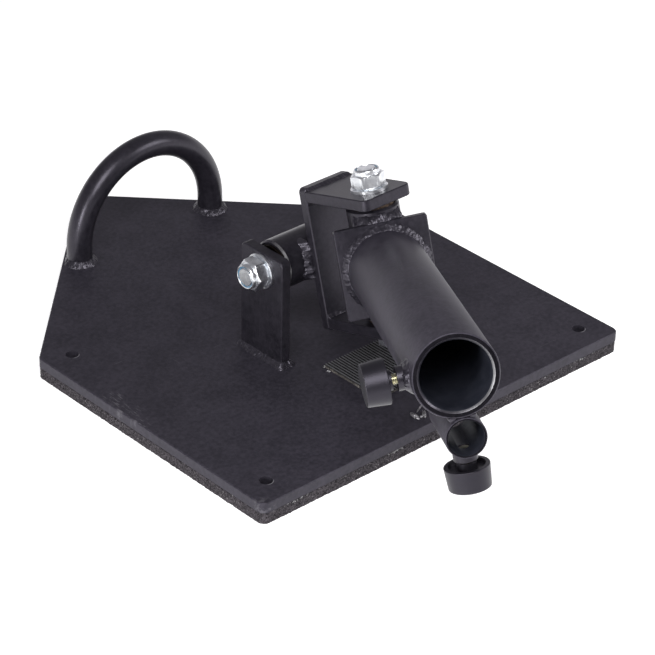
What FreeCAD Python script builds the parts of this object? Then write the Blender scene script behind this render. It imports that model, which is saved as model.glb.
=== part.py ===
"""Barbell pivot attachment: a floor plate with a two-way pivot that holds the end of a bar.

Sizes are in millimetres. +Z is up, and -Y is the way the bar sleeve points when it is
straight. The origin is on the floor, at the centre of the four bolt holes.
"""
import FreeCAD, Part
import Sketcher
import math
import os
import re
from FreeCAD import Placement, Rotation, Vector

# Driving sizes, each with what it measures
SIZES = [
    ("plate_width", 392, "steel plate, side to side"),
    ("plate_straight", 277.5, "steel plate, length of its straight sides"),
    ("apex_depth", 199, "from the end of the straight sides to the pointed end"),
    ("plate_thick", 9.5, "steel plate"),
    ("plate_corner", 7, "radius of the plate's corners"),
    ("edge_break", 0.8, "bevel along cut edges"),
    ("mat_thick", 9.5, "rubber mat under the plate"),
    ("mat_inset", 0.5, "mat edge inside the plate edge"),
    ("bolt_hole", 11, "hole for a floor bolt"),
    ("bolt_inset_side", 24, "hole centre from the straight side"),
    ("bolt_inset_front", 24.5, "hole centre from the front edge"),
    ("bolt_inset_rear", 13, "hole centre from the end of the straight side"),
    ("handle_bar", 22, "round bar of the carry handle"),
    ("handle_radius", 73, "centre line of the arch"),
    ("handle_leg", 12.5, "straight leg under the arch"),
    ("handle_back", 237, "arch behind the origin"),
    ("handle_weld", 2.8, "leg of the weld at the handle's feet, which stand near the plate's edge"),
    ("weld_leg", 5, "leg of a fillet weld"),
    ("pivot_side", 3, "middle of the pivot, to the right of the origin"),
    ("pivot_back", 19, "tilt axis behind the origin"),
    ("pivot_height", 80, "tilt axis above the plate"),
    ("ear_gap", 100, "between the clevis ears"),
    ("ear_thick", 9.5, "clevis ear"),
    ("ear_width", 50, "clevis ear, front to back"),
    ("ear_height", 96.5, "clevis ear above the plate"),
    ("ear_corner", 5, "radius of the ear's top corners"),
    ("bolt_size", 16, "pivot bolts"),
    ("bolt_play", 0.5, "bolt hole wider than the bolt"),
    ("thread_gap", 0.05, "radial gap in a thread"),
    ("hex_flats", 24, "nut and bolt head, across flats"),
    ("nut_high", 11, "hexagon of the lock nut"),
    ("collar_high", 4, "round collar of the lock nut"),
    ("collar_wide", 21, "round collar of the lock nut"),
    ("insert_wide", 18.6, "nylon ring in the collar"),
    ("insert_deep", 3, "nylon ring in the collar"),
    ("head_high", 10, "bolt head"),
    ("washer_wide", 30, "washer"),
    ("washer_thick", 2.5, "washer"),
    ("barrel_wide", 42.4, "tilt barrel, outside"),
    ("barrel_bore", 26, "tilt barrel, inside"),
    ("swivel_wide", 42.4, "swivel tube, outside"),
    ("swivel_bore", 26, "swivel tube, inside"),
    ("tube_bevel", 1.5, "bevel on the ends of both tubes"),
    ("bush_long", 20, "bush inside the tube"),
    ("bush_flange", 36, "bush flange, outside"),
    ("flange_thick", 2.5, "bush flange"),
    ("running_gap", 0.06, "radial running clearance of a bush or a screw"),
    ("seat_gap", 0.02, "radial gap of a bush in its tube"),
    ("end_gap", 0.3, "flange to the plate that it runs on"),
    ("yoke_width", 50, "yoke plates, side to side"),
    ("yoke_back_thick", 8, "yoke back plate"),
    ("yoke_lip", 2, "back plate beyond the cheek plates"),
    ("yoke_back_corner", 4, "radius of the back plate's corners"),
    ("cheek_weld", 3.4, "weld between the back plate and a cheek plate, along the cheek plate"),
    ("cheek_thick", 9.5, "top and bottom plates of the yoke"),
    ("yoke_inner", 98, "between the top and bottom plates"),
    ("yoke_reach", 101, "front edge of the yoke from the tilt axis"),
    ("yoke_corner", 6, "radius of the cheek plates' front corners"),
    ("swivel_reach", 79.5, "swivel axis from the tilt axis"),
    ("rest_tilt", 16, "degrees that the sleeve points up as drawn"),
    ("rest_swing", 32, "degrees that the sleeve is swung to -X as drawn"),
    ("square_side", 75, "square plate behind the bar sleeve"),
    ("square_thick", 6, "square plate"),
    ("square_corner", 2, "radius of the square plate's corners"),
    ("sleeve_outer", 63.5, "bar sleeve, outside"),
    ("sleeve_bore", 52, "bar sleeve, inside"),
    ("sleeve_long", 267.5, "bar sleeve"),
    ("small_outer", 30.5, "small bar sleeve, outside"),
    ("small_bore", 26.5, "small bar sleeve, inside"),
    ("small_long", 60, "small bar sleeve"),
    ("tube_gap", 0.3, "between the two sleeves"),
    ("mouth_bevel", 1.2, "bevel at the bar sleeve's mouth"),
    ("small_bevel", 0.6, "bevel at the small sleeve's mouth"),
    ("screw_size", 8, "thumbscrew stud"),
    ("screw_inset", 20, "thumbscrews from the mouth"),
    ("tip_gap", 0.3, "stud tip behind the bore's wall"),
    ("boss_wide", 18, "threaded boss"),
    ("boss_long", 7.5, "threaded boss outside the tube"),
    ("boss_weld", 3, "leg of the weld round a boss"),
    ("side_feed", 3.8, "side knob's hub to its boss"),
    ("lower_feed", 1.5, "lower knob's hub to its boss"),
    ("hub_wide", 15, "knob hub"),
    ("hub_long", 3, "knob hub beyond the rim"),
    ("knob_wide", 34, "knob at its wide end"),
    ("knob_narrow", 31.4, "knob at its outer end"),
    ("knob_high", 17.2, "knob without its hub"),
    ("knob_round", 0.9, "rounded edge of the knob"),
    ("knob_hollow", 3, "hollow round the hub"),
    ("knob_rim", 3.2, "rim round the hollow"),
    ("stud_in_knob", 11, "stud held in the knob"),
    ("pad_side", 64, "ribbed rubber pad, both ways"),
    ("pad_base", 1.6, "pad under its ribs"),
    ("rib_high", 1.4, "rib on the pad"),
    ("rib_wide", 1.5, "rib on the pad"),
    ("rib_pitch", 2.9, "from rib to rib"),
    ("pad_ahead", 79, "pad centre in front of the tilt axis"),
]
NAMES = {name for name, size, note in SIZES}

# Sizes worked out from the driving ones, as text for the sheet
PLATE_TOP = "(mat_thick + plate_thick)"
HOLE_X = "(plate_width / 2 - bolt_inset_side)"
HOLE_Y = "((plate_straight - bolt_inset_front - bolt_inset_rear) / 2)"
FRONT = f"({HOLE_Y} + bolt_inset_front)"
REAR = f"({HOLE_Y} + bolt_inset_rear)"
APEX = f"({REAR} + apex_depth)"
BARREL_LONG = "(ear_gap - 2 * end_gap - 2 * flange_thick)"
BACK_FACE = "(barrel_wide / 2)"
FRONT_FACE = f"({BACK_FACE} + yoke_back_thick)"
CHEEK_OUT = "(yoke_inner / 2 + cheek_thick)"
SWIVEL_LONG = "(yoke_inner - 2 * end_gap - 2 * flange_thick)"
SQUARE_BACK = "(swivel_wide / 2)"
SLEEVE_BACK = f"({SQUARE_BACK} + square_thick)"
MOUTH = f"({SLEEVE_BACK} + sleeve_long)"
SMALL_DROP = "((sleeve_outer + small_outer) / 2 + tube_gap)"
SCREW_AT = f"({MOUTH} - screw_inset)"
RIB_COUNT = "floor((pad_side - rib_wide) / rib_pitch + 0.01) + 1"
AXIS_X = Vector(1, 0, 0)
AXIS_Y = Vector(0, 1, 0)
AXIS_Z = Vector(0, 0, 1)

doc = FreeCAD.newDocument("barbell_pivot_attachment")
sheet = doc.addObject("Spreadsheet::Sheet", "Dims")
for row, (name, size, note) in enumerate(SIZES, start=1):
    sheet.set(f"A{row}", name)
    sheet.set(f"B{row}", str(size))
    sheet.set(f"C{row}", note)
    sheet.setAlias(f"B{row}", name)
doc.recompute()
nodes = []


def on_sheet(text):
    """The text with each size's name written as its cell of the sheet."""
    return re.sub(r"[a-z_]+", lambda word: f"Dims.{word[0]}" if word[0] in NAMES else word[0], text)


def value(text):
    """The number that a text on the sheet's sizes gives now."""
    return float(sheet.evalExpression(on_sheet(text)))


def bind(thing, **sizes):
    """Bind an object's properties to texts on the sheet's sizes."""
    for name, text in sizes.items():
        thing.setExpression(name, on_sheet(text))


def at(x="0", y="0", z="0"):
    """A shift by three texts on the sheet's sizes."""
    return Placement(Vector(value(x), value(y), value(z)), Rotation())


def turn(axis, degrees):
    return Placement(Vector(), Rotation(axis, degrees))


def node(thing, label, place):
    """Name a finished piece, put it in its place and keep it for the output."""
    thing.Label = label
    thing.Placement = place
    nodes.append(thing)
    return thing


# Sketches: every point is pinned to the sheet by its own two distances
def new_sketch(body, name, role):
    sketch = body.newObject("Sketcher::SketchObject", name)
    plane = next(part for part in body.Origin.OriginFeatures if part.Role == role)
    sketch.AttachmentSupport = [(plane, "")]
    sketch.MapMode = "FlatFace"
    return sketch


def pin(sketch, shape, point, x, y):
    """Hold one point of a sketch at x and y, or at one of them alone."""
    for kind, axis, text in (("DistanceX", -2, x), ("DistanceY", -1, y)):
        if text is None:
            continue
        size = value(text)
        if text == "0":
            sketch.addConstraint(Sketcher.Constraint("PointOnObject", shape, point, axis))
            continue
        ends = (-1, 1, shape, point) if size > 0 else (shape, point, -1, 1)
        index = sketch.addConstraint(Sketcher.Constraint(kind, *ends, abs(size)))
        sketch.setExpression(f"Constraints[{index}]", on_sheet(text if size > 0 else f"-({text})"))


def polygon(sketch, points):
    """A closed outline through points given as pairs of texts."""
    places = [Vector(value(x), value(y), 0) for x, y in points]
    lines = []
    for start, end in zip(places, places[1:] + places[:1]):
        lines.append(sketch.addGeometry(Part.LineSegment(start, end), False))
    for line, after in zip(lines, lines[1:] + lines[:1]):
        sketch.addConstraint(Sketcher.Constraint("Coincident", line, 2, after, 1))
    for line, (x, y) in zip(lines, points):
        pin(sketch, line, 1, x, y)


def circle(sketch, x, y, diameter):
    place = Vector(value(x), value(y), 0)
    ring = sketch.addGeometry(Part.Circle(place, AXIS_Z, value(diameter) / 2), False)
    pin(sketch, ring, 3, x, y)
    index = sketch.addConstraint(Sketcher.Constraint("Diameter", ring, value(diameter)))
    sketch.setExpression(f"Constraints[{index}]", on_sheet(diameter))


def rectangle(x, y):
    """Corners of a rectangle about the origin, from its two half sizes."""
    return [(f"-({x})", f"-({y})"), (x, f"-({y})"), (x, y), (f"-({x})", y)]


def new_body(name):
    return doc.addObject("PartDesign::Body", name)


def pad(body, sketch, length, both_ways=False):
    feature = body.newObject("PartDesign::Pad", "Pad")
    feature.Profile = sketch
    feature.Midplane = both_ways
    bind(feature, Length=length)
    doc.recompute()
    return feature


def cut_through(body, sketch):
    """Cut a sketch right through the body, both ways, and test that it did cut."""
    before = body.Shape.Volume
    feature = body.newObject("PartDesign::Pocket", "Pocket")
    feature.Profile = sketch
    feature.Type = "ThroughAll"
    feature.Midplane = True
    doc.recompute()
    assert body.Shape.Volume < before - 1, f"{body.Name}: the pocket cut nothing"
    return feature


def edges_along(shape, axis, wanted=lambda middle: True):
    """Names of the straight edges along an axis whose middle is wanted."""
    names = []
    for index, edge in enumerate(shape.Edges, start=1):
        straight = isinstance(edge.Curve, (Part.Line, Part.LineSegment))
        if straight and abs(edge.tangentAt(edge.FirstParameter).dot(axis)) > 0.999:
            if wanted(edge.CenterOfMass):
                names.append(f"Edge{index}")
    return names


def outline_edges(shape, axis, level):
    """Names of the edges of the face that lies at a level of an axis, without its holes."""
    names = []
    for face in shape.Faces:
        flat = isinstance(face.Surface, Part.Plane)
        if flat and abs(face.normalAt(0, 0).dot(axis)) > 0.999:
            if abs(face.CenterOfMass.dot(axis) - level) < 1e-6:
                for edge in face.OuterWire.Edges:
                    names += [f"Edge{i}" for i, other in enumerate(shape.Edges, 1) if other.isSame(edge)]
    return names


def dress(body, kind, name, edges, **sizes):
    """A fillet or a bevel on named edges of the body as it is so far."""
    base = body.Tip
    feature = body.newObject(f"PartDesign::{kind}", name)
    feature.Base = (base, edges)
    bind(feature, **sizes)
    doc.recompute()
    return feature


def revolved(name, points):
    """A round piece about Z, from its half outline as pairs of radius and height."""
    body = new_body(name)
    sketch = new_sketch(body, f"{name}_outline", "XZ_Plane")
    polygon(sketch, points)
    feature = body.newObject("PartDesign::Revolution", f"{name}_turned")
    feature.Profile = sketch
    feature.ReferenceAxis = (sketch, ["V_Axis"])
    feature.Angle = 360
    doc.recompute()
    return body


def solid(kind, name, place=Placement(), **sizes):
    """A primitive with its sizes bound to the sheet."""
    thing = doc.addObject(f"Part::{kind}", name)
    bind(thing, **sizes)
    thing.Placement = place
    return thing


def cut(name, base, tool):
    thing = doc.addObject("Part::Cut", name)
    thing.Base = base
    thing.Tool = tool
    return thing


def fuse(name, shapes):
    thing = doc.addObject("Part::MultiFuse", name)
    thing.Shapes = shapes
    return thing


def group(name, shapes):
    """Several separate solids in one node."""
    thing = doc.addObject("Part::Compound", name)
    thing.Links = shapes
    return thing


# Frames: the tilt axis runs along X, the swivel axis stands up in the tilted yoke
pivot = at("pivot_side", "pivot_back", f"{PLATE_TOP} + pivot_height")
yoke = pivot * turn(AXIS_X, -value("rest_tilt"))
swing = yoke * at(y="-swivel_reach") * turn(AXIS_Z, -value("rest_swing"))
along_x = turn(AXIS_Y, 90)
along_bar = turn(AXIS_X, 90)


# Steel plate and rubber mat, both with the same five-sided outline
def five_sides(inset):
    side = f"(plate_width / 2 - {inset})"
    return [
        (f"-{side}", f"-({FRONT} - {inset})"),
        (side, f"-({FRONT} - {inset})"),
        (side, REAR),
        ("0", f"{APEX} - {inset}"),
        (f"-{side}", REAR),
    ]


def floor_sheet(name, inset, thick):
    body = new_body(name)
    outline = new_sketch(body, f"{name}_outline", "XY_Plane")
    polygon(outline, five_sides(inset))
    pad(body, outline, thick)
    dress(body, "Fillet", f"{name}_corners", edges_along(body.Shape, AXIS_Z), Radius="plate_corner")
    holes = new_sketch(body, f"{name}_holes", "XY_Plane")
    for x, y in rectangle(HOLE_X, HOLE_Y):
        circle(holes, x, y, "bolt_hole")
    cut_through(body, holes)
    return body


mat = floor_sheet("Mat", "mat_inset", "mat_thick")
node(mat, "rubber_mat", Placement())
plate = floor_sheet("Plate", "0", "plate_thick")
rims = outline_edges(plate.Shape, AXIS_Z, value("plate_thick")) + outline_edges(plate.Shape, AXIS_Z, 0)
dress(plate, "Chamfer", "Plate_edges", rims, Size="edge_break")
node(plate, "base_plate", at(z="mat_thick"))

# Carry handle: one round bar bent to an arch, with a ring of weld at each foot
handle = new_body("Handle")
route = new_sketch(handle, "Handle_route", "XZ_Plane")
foot = value("handle_radius")
leg = value("handle_leg")
left_leg = route.addGeometry(Part.LineSegment(Vector(-foot, 0, 0), Vector(-foot, leg, 0)), False)
arch = route.addGeometry(Part.ArcOfCircle(Part.Circle(Vector(0, leg, 0), AXIS_Z, foot), 0, math.pi), False)
right_leg = route.addGeometry(Part.LineSegment(Vector(foot, leg, 0), Vector(foot, 0, 0)), False)
pin(route, left_leg, 1, "-handle_radius", "0")
pin(route, right_leg, 2, "handle_radius", "0")
pin(route, arch, 3, None, "handle_leg")
route.addConstraint(Sketcher.Constraint("Vertical", left_leg))
route.addConstraint(Sketcher.Constraint("Vertical", right_leg))
route.addConstraint(Sketcher.Constraint("Coincident", left_leg, 2, arch, 2))
route.addConstraint(Sketcher.Constraint("Coincident", right_leg, 1, arch, 1))
route.addConstraint(Sketcher.Constraint("Horizontal", left_leg, 2, arch, 3))
route.addConstraint(Sketcher.Constraint("Horizontal", right_leg, 1, arch, 3))
bar = new_sketch(handle, "Handle_bar", "XY_Plane")
circle(bar, "-handle_radius", "0", "handle_bar")
bend = handle.newObject("PartDesign::AdditivePipe", "Handle_bend")
bend.Profile = bar
bend.Spine = route
doc.recompute()
handle_place = at(y="handle_back", z=PLATE_TOP)
node(handle, "carry_handle", handle_place)


def ring_weld(name, around, leg_size, place):
    """A fillet weld round a bar or tube that stands on a plate."""
    cone = solid("Cone", f"{name}_cone", Radius1=f"{around} / 2 + {leg_size}", Radius2=f"{around} / 2",
                 Height=leg_size)
    core = solid("Cylinder", f"{name}_core", Radius=f"{around} / 2", Height=leg_size)
    ring = cut(name, cone, core)
    ring.Placement = place
    return ring


feet = [ring_weld(f"Foot_weld_{side}", "handle_bar", "handle_weld", at(x))
        for side, x in (("left", "-handle_radius"), ("right", "handle_radius"))]
node(group("Handle_welds", feet), "handle_welds", handle_place)

# Clevis: two upright ears welded to the plate, each with a hole for the tilt bolt
EAR_X = "((ear_gap + ear_thick) / 2)"


def ear(name):
    body = new_body(name)
    outline = new_sketch(body, f"{name}_outline", "YZ_Plane")
    half = "ear_width / 2"
    top = "ear_height - pivot_height"
    polygon(outline, [(f"-{half}", "-pivot_height"), (half, "-pivot_height"), (half, top), (f"-{half}", top)])
    pad(body, outline, "ear_thick", both_ways=True)
    top_edges = edges_along(body.Shape, AXIS_X, lambda middle: middle.z > 0)
    dress(body, "Fillet", f"{name}_corners", top_edges, Radius="ear_corner")
    faces = []
    for level in (-value("ear_thick") / 2, value("ear_thick") / 2):
        foot_free = [edge for edge in outline_edges(body.Shape, AXIS_X, level)
                     if body.Shape.getElement(edge).CenterOfMass.z > -value("pivot_height") + 0.1]
        faces += foot_free
    dress(body, "Chamfer", f"{name}_edges", faces, Size="edge_break")
    hole = new_sketch(body, f"{name}_hole", "YZ_Plane")
    circle(hole, "0", "0", "bolt_size + bolt_play")
    cut_through(body, hole)
    return body


node(ear("Left_ear"), "left_clevis_ear", pivot * at(f"-{EAR_X}"))
node(ear("Right_ear"), "right_clevis_ear", pivot * at(EAR_X))


def foot_weld(name, x):
    """A fillet weld round the foot of an ear, as a low frustum with the ear taken out."""
    sloped = doc.addObject("Part::Wedge", f"{name}_slope")
    bind(sloped, Xmin="-(ear_thick / 2 + weld_leg)", Xmax="ear_thick / 2 + weld_leg", Ymin="0 * weld_leg",
         Ymax="weld_leg", Zmin="-(ear_width / 2 + weld_leg)", Zmax="ear_width / 2 + weld_leg",
         X2min="-ear_thick / 2", X2max="ear_thick / 2", Z2min="-ear_width / 2", Z2max="ear_width / 2")
    core = solid("Box", f"{name}_core", at("-ear_thick / 2", "0", "-ear_width / 2"), Length="ear_thick",
                 Width="weld_leg", Height="ear_width")
    weld = cut(name, sloped, core)
    weld.Placement = at(x) * along_bar
    return weld


ear_welds = [foot_weld("Ear_weld_left", f"-{EAR_X}"), foot_weld("Ear_weld_right", EAR_X)]
node(group("Clevis_welds", ear_welds), "clevis_welds", pivot * at(z="-pivot_height"))

# Ribbed rubber pad, glued to the plate under the swivel
ribbed = new_body("Pad")
base = new_sketch(ribbed, "Pad_base", "XY_Plane")
polygon(base, rectangle("pad_side / 2", "pad_side / 2"))
pad(ribbed, base, "pad_base")
rib = new_sketch(ribbed, "Pad_rib", "XY_Plane")
rib_left = "-pad_side / 2"
rib_right = "-pad_side / 2 + rib_wide"
polygon(rib, [(rib_left, "-pad_side / 2"), (rib_right, "-pad_side / 2"),
              (rib_right, "pad_side / 2"), (rib_left, "pad_side / 2")])
first_rib = pad(ribbed, rib, "pad_base + rib_high")
ribs = ribbed.newObject("PartDesign::LinearPattern", "Pad_ribs")
ribs.Originals = [first_rib]
ribs.Direction = (rib, ["H_Axis"])
bind(ribs, Occurrences=RIB_COUNT, Length=f"rib_pitch * ({RIB_COUNT} - 1)")
ribbed.Tip = ribs
doc.recompute()
node(ribbed, "ribbed_pad", at("pivot_side", "pivot_back - pad_ahead", PLATE_TOP))


# Fasteners: hexagon pieces are turned with bevelled corners, then cut to six sides
def hexagon(sketch, flats):
    corner = f"({flats}) / sqrt(3)"
    points = []
    for index in range(6):
        angle = 60 * index
        points.append((f"{corner} * cos({angle} deg)", f"{corner} * sin({angle} deg)" if index % 3 else "0"))
    polygon(sketch, points)


def cut_to_hexagon(body, name):
    """Take away what lies outside the six flats."""
    sketch = new_sketch(body, f"{name}_flats", "XY_Plane")
    circle(sketch, "0", "0", "hex_flats * 2")
    hexagon(sketch, "hex_flats")
    return cut_through(body, sketch)


HEX_OUT = "(hex_flats / sqrt(3))"
HEX_FLAT = "(hex_flats * 0.48)"
HEX_DROP = f"(({HEX_OUT} - {HEX_FLAT}) * 0.577)"


def lock_nut(name):
    """Hexagon with a round collar on top, which is hollow for the nylon ring."""
    hole = "bolt_size / 2 + thread_gap"
    top = "nut_high + collar_high"
    hexa = revolved(f"{name}_hex", [
        (hole, "0"), (HEX_FLAT, "0"), (HEX_OUT, HEX_DROP), (HEX_OUT, f"nut_high - {HEX_DROP}"),
        (HEX_FLAT, "nut_high"), (hole, "nut_high")])
    cut_to_hexagon(hexa, f"{name}_hex")
    collar = revolved(f"{name}_collar", [
        (hole, "nut_high - 0.5 * collar_high"), ("collar_wide / 2", "nut_high - 0.5 * collar_high"),
        ("collar_wide / 2", f"{top} - edge_break"), ("collar_wide / 2 - edge_break", top),
        ("insert_wide / 2", top), ("insert_wide / 2", f"{top} - insert_deep"),
        (hole, f"{top} - insert_deep")])
    return fuse(name, [hexa, collar])


def nut_insert(name):
    low = "nut_high + collar_high - insert_deep"
    high = "nut_high + collar_high - edge_break"
    hole = "bolt_size / 2 + thread_gap"
    return revolved(name, [(hole, low), ("insert_wide / 2", low), ("insert_wide / 2", high), (hole, high)])


def hex_bolt(name, grip):
    """Bolt with its head below zero. Its end stands flush with the lock nut's collar."""
    end = f"({grip} + washer_thick + nut_high + collar_high)"
    shank = revolved(f"{name}_shank", [
        ("0", "0"), ("bolt_size / 2", "0"), ("bolt_size / 2", f"{end} - edge_break"),
        ("bolt_size / 2 - edge_break", end), ("0", end)])
    head = revolved(f"{name}_head", [
        ("0", "-head_high"), (HEX_FLAT, "-head_high"), (HEX_OUT, f"-head_high + {HEX_DROP}"), (HEX_OUT, "0"),
        ("0", "0")])
    cut_to_hexagon(head, f"{name}_head")
    return fuse(name, [shank, head])


def washer(name, place):
    ring = revolved(name, [
        ("(bolt_size + bolt_play) / 2", "0"), ("washer_wide / 2", "0"),
        ("washer_wide / 2", "washer_thick - edge_break / 2"), ("washer_wide / 2 - edge_break / 2", "washer_thick"),
        ("(bolt_size + bolt_play) / 2", "washer_thick")])
    ring.Placement = place
    return ring


def fasten(prefix, grip, place):
    """A bolt, two washers, a lock nut and its ring through a grip centred on the place."""
    low = place * at(z=f"-{grip} / 2")
    high = place * at(z=f"{grip} / 2")
    name = prefix.capitalize()
    bolt_grip = f"({grip} + washer_thick)"
    node(hex_bolt(f"{name}_bolt", bolt_grip), f"{prefix}_bolt", low * at(z="-washer_thick"))
    rings = [washer(f"{name}_washer_head", low * turn(AXIS_X, 180)), washer(f"{name}_washer_nut", high)]
    node(group(f"{name}_washers", rings), f"{prefix}_washers", Placement())
    node(lock_nut(f"{name}_nut"), f"{prefix}_lock_nut", high * at(z="washer_thick"))
    node(nut_insert(f"{name}_insert"), f"{prefix}_nut_insert", high * at(z="washer_thick"))


fasten("tilt", "(ear_gap + 2 * ear_thick)", pivot * turn(AXIS_Y, -90))
fasten("swivel", f"(2 * {CHEEK_OUT})", yoke * at(y="-swivel_reach"))


# Round tubes that turn on the bolts, each with a flanged bronze bush at both ends
def pivot_tube(name, wide, bore, long):
    end = f"{long} / 2"
    half = f"{wide} / 2"
    hole = f"{bore} / 2"
    return revolved(name, [
        (hole, f"-{end}"), (f"{half} - tube_bevel", f"-{end}"), (half, f"-({end} - tube_bevel)"),
        (half, f"{end} - tube_bevel"), (f"{half} - tube_bevel", end), (hole, end)])


def flanged_bush(name, bore):
    hole = "bolt_size / 2 + running_gap"
    seat = f"{bore} / 2 - seat_gap"
    flange = "bush_flange / 2"
    return revolved(name, [
        (hole, "-bush_long"), (seat, "-bush_long"), (seat, "0"), (flange, "0"),
        (flange, "flange_thick"), (hole, "flange_thick")])


node(pivot_tube("Tilt_tube", "barrel_wide", "barrel_bore", BARREL_LONG), "tilt_barrel", yoke * along_x)
tilt_end = at(z=f"{BARREL_LONG} / 2")
node(flanged_bush("Tilt_bush_left", "barrel_bore"), "left_tilt_bush", yoke * turn(AXIS_Y, -90) * tilt_end)
node(flanged_bush("Tilt_bush_right", "barrel_bore"), "right_tilt_bush", yoke * along_x * tilt_end)
node(pivot_tube("Swivel", "swivel_wide", "swivel_bore", SWIVEL_LONG), "swivel_tube", swing)
swivel_end = at(z=f"{SWIVEL_LONG} / 2")
node(flanged_bush("Swivel_bush_up", "swivel_bore"), "upper_swivel_bush", swing * swivel_end)
node(flanged_bush("Swivel_bush_low", "swivel_bore"), "lower_swivel_bush", swing * turn(AXIS_X, 180) * swivel_end)

# Yoke: a back plate on the barrel, with a top and a bottom plate welded to its face
back = new_body("Yoke_back")
back_outline = new_sketch(back, "Yoke_back_outline", "XZ_Plane")
polygon(back_outline, rectangle("yoke_width / 2", f"{CHEEK_OUT} + yoke_lip"))
pad(back, back_outline, "yoke_back_thick", both_ways=True)
dress(back, "Fillet", "Yoke_back_corners", edges_along(back.Shape, AXIS_Y), Radius="yoke_back_corner")
half_back = value("yoke_back_thick") / 2
back_rims = outline_edges(back.Shape, AXIS_Y, half_back) + outline_edges(back.Shape, AXIS_Y, -half_back)
dress(back, "Chamfer", "Yoke_back_edges", back_rims, Size="edge_break")
node(back, "yoke_back_plate", yoke * at(y=f"-({BACK_FACE} + yoke_back_thick / 2)"))


def cheek(name):
    """Top or bottom plate of the yoke, with the swivel bolt's hole at its origin."""
    body = new_body(name)
    outline = new_sketch(body, f"{name}_outline", "XY_Plane")
    side = "yoke_width / 2"
    front = "-(yoke_reach - swivel_reach)"
    rear = f"swivel_reach - {FRONT_FACE}"
    polygon(outline, [(f"-{side}", front), (side, front), (side, rear), (f"-{side}", rear)])
    pad(body, outline, "cheek_thick", both_ways=True)
    fronts = edges_along(body.Shape, AXIS_Z, lambda middle: middle.y < 0)
    dress(body, "Fillet", f"{name}_corners", fronts, Radius="yoke_corner")
    rims = []
    for level in (-value("cheek_thick") / 2, value("cheek_thick") / 2):
        rims += [edge for edge in outline_edges(body.Shape, AXIS_Z, level)
                 if body.Shape.getElement(edge).CenterOfMass.y < value(rear) - 0.1]
    dress(body, "Chamfer", f"{name}_edges", rims, Size="edge_break")
    hole = new_sketch(body, f"{name}_hole", "XY_Plane")
    circle(hole, "0", "0", "bolt_size + bolt_play")
    cut_through(body, hole)
    return body


cheek_up = "(yoke_inner + cheek_thick) / 2"
node(cheek("Yoke_top"), "yoke_top_plate", yoke * at(y="-swivel_reach", z=cheek_up))
node(cheek("Yoke_bottom"), "yoke_bottom_plate", yoke * at(y="-swivel_reach", z=f"-{cheek_up}"))

# Yoke welds: one along each cheek plate, and one at each side where the barrel passes
cheek_beads = new_body("Cheek_beads")
bead_ends = new_sketch(cheek_beads, "Cheek_bead_ends", "YZ_Plane")
for sign in ("", "-"):
    polygon(bead_ends, [
        (f"-{FRONT_FACE}", f"{sign}{CHEEK_OUT}"),
        (f"-({FRONT_FACE} + cheek_weld)", f"{sign}{CHEEK_OUT}"),
        (f"-{FRONT_FACE}", f"{sign}({CHEEK_OUT} + yoke_lip - edge_break)")])
pad(cheek_beads, bead_ends, "yoke_width - 2 * yoke_corner", both_ways=True)
barrel_beads = []
BEAD_TALL = "(barrel_wide * 0.7)"
for side_name, mirror in (("left", 180), ("right", 0)):
    slope = solid("Wedge", f"Barrel_bead_{side_name}_slope", Xmin="0 * weld_leg", Xmax="weld_leg * 1.2",
                  Ymin="0 * weld_leg", Ymax="weld_leg + barrel_wide / 4", Zmin=f"-{BEAD_TALL} / 2",
                  Zmax=f"{BEAD_TALL} / 2", X2min="0 * weld_leg", X2max="weld_leg * 1.2",
                  Z2min=f"-{BEAD_TALL} / 2", Z2max=f"{BEAD_TALL} / 2")
    start = turn(AXIS_Y, mirror) * at("yoke_width / 2", f"-({BACK_FACE} + weld_leg)", "0")
    slope.Placement = start
    tube = solid("Cylinder", f"Barrel_bead_{side_name}_tube", at(f"-{BARREL_LONG} / 2") * along_x,
                 Radius="barrel_wide / 2", Height=BARREL_LONG)
    barrel_beads.append(cut(f"Barrel_bead_{side_name}", slope, tube))
node(group("Yoke_welds", [cheek_beads] + barrel_beads), "yoke_welds", yoke)

# Square plate between the swivel tube and the bar sleeve
square = new_body("Square")
square_outline = new_sketch(square, "Square_outline", "XZ_Plane")
polygon(square_outline, rectangle("square_side / 2", "square_side / 2"))
pad(square, square_outline, "square_thick", both_ways=True)
dress(square, "Fillet", "Square_corners", edges_along(square.Shape, AXIS_Y), Radius="square_corner")
half_square = value("square_thick") / 2
square_rims = outline_edges(square.Shape, AXIS_Y, half_square)
square_rims += outline_edges(square.Shape, AXIS_Y, -half_square)
dress(square, "Chamfer", "Square_edges", square_rims, Size="edge_break")
node(square, "sleeve_plate", swing * at(y=f"-({SQUARE_BACK} + square_thick / 2)"))


# Bar sleeves: a large and a small tube, open at the front, with a hole for each screw
def bar_tube(name, outer, bore, long, bevel):
    half = f"{outer} / 2"
    hole = f"{bore} / 2"
    return revolved(name, [
        (hole, "0"), (half, "0"), (half, f"{long} - {bevel}"), (f"{half} - {bevel}", long),
        (f"{hole} + {bevel}", long), (hole, f"{long} - {bevel}")])


def screw_hole(name, diameter, place, long="sleeve_outer"):
    return solid("Cylinder", name, place, Radius=f"({diameter}) / 2", Height=long)


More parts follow.
